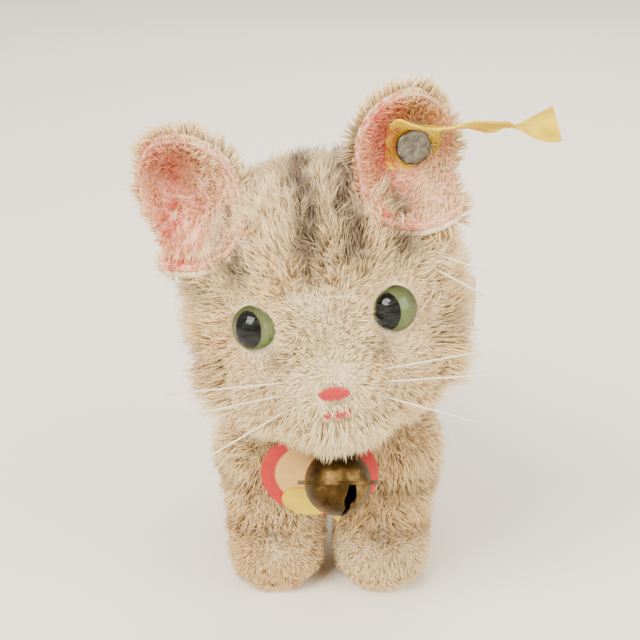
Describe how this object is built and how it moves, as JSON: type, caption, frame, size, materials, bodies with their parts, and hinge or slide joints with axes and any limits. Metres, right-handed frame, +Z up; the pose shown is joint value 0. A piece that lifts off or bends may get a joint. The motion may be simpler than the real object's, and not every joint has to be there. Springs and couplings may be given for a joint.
{
  "type": "plush cat",
  "caption": "Small standing plush kitten with a turning head, glass eyes, cupped ears, a bell and round tag at the neck and a ribbon bow behind.",
  "frame": {"origin": "on the ground at the middle of the four feet", "axes": "-Y is the front, the way the face looks; +X is the kitten's own left; +Z is up"},
  "size_m": [0.0696, 0.1052, 0.0983],
  "materials": {
    "mohair_plush": "long pile, cream with grey-brown stripes",
    "ear_lining": "short faded salmon pile",
    "wood_wool": "packed stuffing",
    "sole_felt": "pressed felt",
    "steel_wire": "drawn wire",
    "card_disc": "pressed card",
    "eye_glass": "polished",
    "eye_iris": "painted olive green",
    "eye_pupil": "painted black",
    "red_thread": "satin stitch, worn",
    "whisker": "clear bristle",
    "button_metal": "tarnished",
    "flag_cloth": "plain weave",
    "ribbon": "faded ribbon",
    "bell_brass": "aged brown",
    "pellet_steel": "rolled",
    "tag_card": "printed card with a red rim",
    "tag_fish": "printed yellow card"
  },
  "bodies": {
    "torso": {"bell_link": "steel_wire", "belly_gusset": "mohair_plush", "body_left_side": "mohair_plush", "body_right_side": "mohair_plush", "cotter_pin": "steel_wire", "front_left_leg_stuffing": "wood_wool", "front_left_sole": "sole_felt", "front_leg_wire": "steel_wire", "front_right_leg_stuffing": "wood_wool", "front_right_sole": "sole_felt", "hind_left_leg_stuffing": "wood_wool", "hind_left_sole": "sole_felt", "hind_leg_wire": "steel_wire", "hind_right_leg_stuffing": "wood_wool", "hind_right_sole": "sole_felt", "neck_disc_body": "card_disc", "neck_ribbon": "ribbon", "neck_washer_body": "steel_wire", "tail_cover": "mohair_plush", "tail_stuffing": "wood_wool", "tail_wire": "steel_wire", "torso_stuffing": "wood_wool"},
    "head": {"head_gusset": "mohair_plush", "head_left_side": "mohair_plush", "head_right_side": "mohair_plush", "head_stuffing": "wood_wool", "neck_disc_head": "card_disc", "neck_washer_head": "steel_wire", "nose_stitching": "red_thread", "mouth_stitching": "red_thread", "left_whiskers": "whisker", "right_whiskers": "whisker", "left_brow_hairs": "whisker", "ear_button": "button_metal", "ear_button_washer": "button_metal", "ear_flag": "flag_cloth", "left_eye_glass": "eye_glass", "left_eye_iris": "eye_iris", "left_eye_pupil": "eye_pupil", "left_eye_shank": "steel_wire", "left_ear_back": "mohair_plush", "left_ear_lining": "ear_lining", "right_eye_glass": "eye_glass", "right_eye_iris": "eye_iris", "right_eye_pupil": "eye_pupil", "right_eye_shank": "steel_wire", "right_ear_back": "mohair_plush", "right_ear_lining": "ear_lining"},
    "bell": {"bell_upper_half": "bell_brass", "bell_lower_half": "bell_brass", "bell_staple": "steel_wire"},
    "pellet": {"bell_pellet": "pellet_steel"},
    "tag": {"tag_card": "tag_card", "tag_fish": "tag_fish"}
  },
  "joints": [
    {"name": "head_turn", "type": "hinge", "parent": "torso", "child": "head", "pos_m": [0, -0.03, 0.0475], "axis": [0, -0.4226, 0.9063], "continuous": true},
    {"name": "bell_sway", "type": "hinge", "parent": "torso", "child": "bell", "pos_m": [0.0014, -0.04396, 0.03646], "axis": [0, -0.9026, 0.4305], "range_deg": [-20, 20]},
    {"name": "pellet_roll", "type": "hinge", "parent": "bell", "child": "pellet", "pos_m": [0.0014, -0.04663, 0.03086], "axis": [0, -0.9026, 0.4305], "range_deg": [-35, 35]},
    {"name": "tag_swing", "type": "hinge", "parent": "torso", "child": "tag", "pos_m": [0.0014, -0.04148, 0.03685], "axis": [0, -0.9397, -0.342], "range_deg": [-8, 40]}
  ]
}
